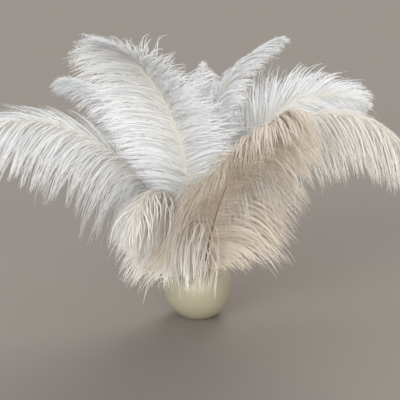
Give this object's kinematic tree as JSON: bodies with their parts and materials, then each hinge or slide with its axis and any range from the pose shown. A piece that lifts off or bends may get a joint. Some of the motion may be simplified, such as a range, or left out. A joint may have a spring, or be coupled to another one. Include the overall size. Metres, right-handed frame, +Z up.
{
  "type": "ostrich plumes in a round vase",
  "caption": "White ostrich plumes with long drooping barbs, arching outwards from a small ball-shaped cream ceramic vase.",
  "frame": {"origin": "centre of the vase's flat foot, on the surface that it stands on", "axes": "+Z up along the vase's axis, +X along the widest spread of the plumes, -Y towards the front"},
  "size_m": [0.485, 0.3734, 0.3299],
  "materials": {
    "cream_glaze": "satin",
    "white_feather": "matte"
  },
  "bodies": {
    "root": {"vase": "cream_glaze", "plume_crown": "white_feather", "plume_back_left": "white_feather", "plume_far_left": "white_feather", "plume_slim": "white_feather", "plume_back": "white_feather", "plume_upper_right": "white_feather", "plume_back_right": "white_feather", "plume_front_right": "white_feather", "plume_far_right": "white_feather", "plume_front_left": "white_feather"}
  },
  "joints": []
}
